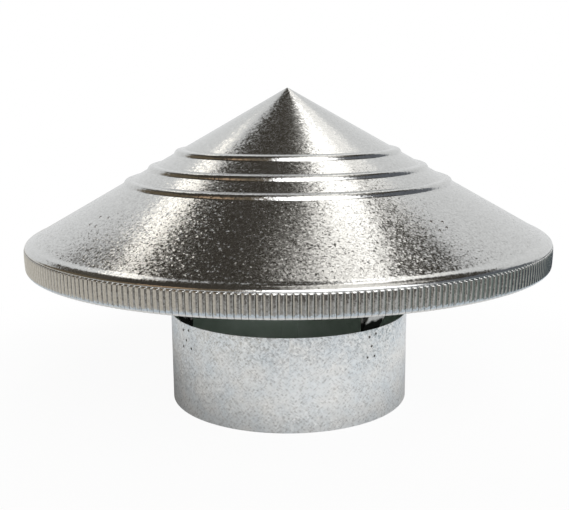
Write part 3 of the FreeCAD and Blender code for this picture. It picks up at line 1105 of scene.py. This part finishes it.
# %% [markdown]
# The room is one world shader. It starts as two plain sides, warm on the left and cool on the right,
# and patches of light are laid over them one after another: a white wall behind the cap, a dark
# ceiling, lamps that draw the bright streaks on the cone, and a big soft window in front on the
# right. Walls, ground and window are given by turn and rise, as one sees them. Ceiling and lamps are
# given in plan, the way they hang over the cap: so far to the right and so far to the back for each
# metre of height, because straight edges stay straight.

# %% Where the patches of the room lie
LEFT_OF_ROOM = (0.15, 0.12, 0.08, 1)
RIGHT_OF_ROOM = (0.14, 0.15, 0.17, 1)
# What it is, turn of its middle from the front towards +X, half its width, its lowest and highest
# rise and its softness, all in degrees, and its light
WALLS = (
    ("ground round the floor", 0, 181, -91, -2, 4, (0.36, 0.35, 0.33, 1)),
    ("ground, left", -78, 50, -60, -1, 8, (0.62, 0.58, 0.51, 1)),
    ("ground, front right", 40, 18, -60, -1, 8, (0.56, 0.56, 0.55, 1)),
    ("ground, near", 5, 60, -65, -29, 6, (0.66, 0.76, 0.90, 1)),
    ("dark horizon in front", 12, 30, -14, 6, 3, (0.11, 0.10, 0.09, 1)),
    ("ground, right", 92, 26, -60, -1, 6, (0.21, 0.25, 0.23, 1)),
    ("white wall behind", 178.5, 56.5, -40, 66, 5, (0.83, 0.84, 0.845, 1)),
    ("ground, back left", -140, 35, -60, -5, 4, (0.70, 0.67, 0.61, 1)),
    ("dark corner, back right", 128, 24, -40, -7, 3, (0.05, 0.06, 0.08, 1)),
    ("warm light, left", -88, 20, 37, 56, 6, (0.62, 0.52, 0.36, 1)),
    ("warm board, left", -55, 14, 20, 40, 6, (0.60, 0.42, 0.28, 1)),
)
# What it is, its middle (right, back), half its width, half its length, its turn in degrees and its
# softness, all for one metre of height, and its light
OVERHEAD = (
    ("ceiling", (-0.2, 0.12), 1.3, 0.67, 0, 0.05, (0.055, 0.049, 0.04, 1)),
    ("ceiling, left corner", (-1.18, 0.86), 0.4, 0.6, 35, 0.05, (0.09, 0.08, 0.065, 1)),
    ("pale panel", (0.33, -0.04), 0.27, 0.26, 0, 0.12, (1.15, 1.12, 1.06, 1)),
    ("lamp, left", (-0.565, 0.87), 0.1, 0.21, 0, 0.05, (2.0, 1.92, 1.78, 1)),
    ("lit ceiling, right", (0.40, 0.88), 0.145, 0.14, -28, 0.06, (1.35, 1.33, 1.29, 1)),
    ("near end of the strip lamp", (0.215, 0.36), 0.125, 0.13, -6, 0.06, (1.35, 1.32, 1.26, 1)),
    ("bend of its near end", (0.12, 0.27), 0.16, 0.06, 0, 0.05, (1.15, 1.12, 1.07, 1)),
    ("strip lamp, right", (0.266, 0.60), 0.102, 0.15, -10, 0.05, (2.3, 2.26, 2.18, 1)),
)
WINDOW = ("window", 21, 34, 8, 67, 7, (3.3, 3.3, 3.3, 1))
print("Patches in the room:", len(WALLS) + len(OVERHEAD) + 1)

# %% [markdown]
# Each patch mixes its light into the room so far, where it lies. For a wall, the direction is turned
# until the patch is ahead, and its turn and rise are compared with the patch's edges. In plan, a
# direction is divided by its height, and only what is well above the cap counts.

# %% How a patch is laid
world = bpy.data.worlds.new("studio")
bpy.context.scene.world = world
world.use_nodes = True
tree = world.node_tree
tree.nodes.clear()
direction = add_node(tree, "ShaderNodeTexCoord").outputs["Generated"]
heading = axes(tree, direction)
rise = maths(tree, "ARCSINE", heading["Z"])
height = add_node(tree, "ShaderNodeCombineXYZ", {axis: heading["Z"] for axis in "XYZ"}).outputs[0]
plan = vector_maths(tree, "DIVIDE", direction, height)
overhead = between(tree, heading["Z"], 0, 1, 0.15, 0.2)


def within(value, half, soft):
    """One where a value is nearer to nought than half, nought outside, and soft between."""
    return between(tree, maths(tree, "ABSOLUTE", value), 1, 0, half - soft, half + soft, smooth=True)


def lay_wall(room, name, middle, half, low, high, soft, light):
    """Lay a patch that is given by turn and rise over the room so far."""
    turned = add_node(
        tree,
        "ShaderNodeVectorRotate",
        {"Vector": direction, "Angle": math.radians(-middle)},
        rotation_type="Z_AXIS",
        label=name,
    )
    aside, behind = axes(tree, turned.outputs[0])[:2]
    turn = maths(tree, "ARCTAN2", aside, multiply(tree, behind, -1.0))
    half, low, high, soft = (math.radians(angle) for angle in (half, low, high, soft))
    above = between(tree, rise, 0, 1, low - soft, low + soft, smooth=True)
    below = between(tree, rise, 1, 0, high - soft, high + soft, smooth=True)
    return mix_colours(tree, multiply(tree, within(turn, half, soft), above, below), room, light)


def hang_over(room, name, middle, half_width, half_length, turn, soft, light):
    """Lay a patch that is given in plan over the room so far."""
    placed = add_node(
        tree,
        "ShaderNodeMapping",
        {"Vector": plan, "Location": (*middle, 0), "Rotation": (0, 0, math.radians(turn))},
        vector_type="TEXTURE",
        label=name,
    )
    across, along = axes(tree, placed.outputs[0])[:2]
    inside = multiply(tree, within(across, half_width, soft), within(along, half_length, soft))
    return mix_colours(tree, multiply(tree, inside, overhead), room, light)


# %% The room, patch by patch
side = between(tree, heading["X"], 0, 1, -0.4, 0.4, smooth=True)
room = mix_colours(tree, side, LEFT_OF_ROOM, RIGHT_OF_ROOM)
for patch in WALLS:
    room = lay_wall(room, *patch)
for patch in OVERHEAD:
    room = hang_over(room, *patch)
room = lay_wall(room, *WINDOW)
rays = add_node(tree, "ShaderNodeLightPath").outputs
shown = mix_colours(tree, rays["Is Camera Ray"], room, (1, 1, 1, 1))
surround = add_node(tree, "ShaderNodeBackground", {"Color": shown, "Strength": 1.0}).outputs[0]
add_node(tree, "ShaderNodeOutputWorld", {"Surface": surround})
bpy.context.scene.view_settings.view_transform = "Standard"
print("World:", world.name, "with", len(tree.nodes), "nodes")
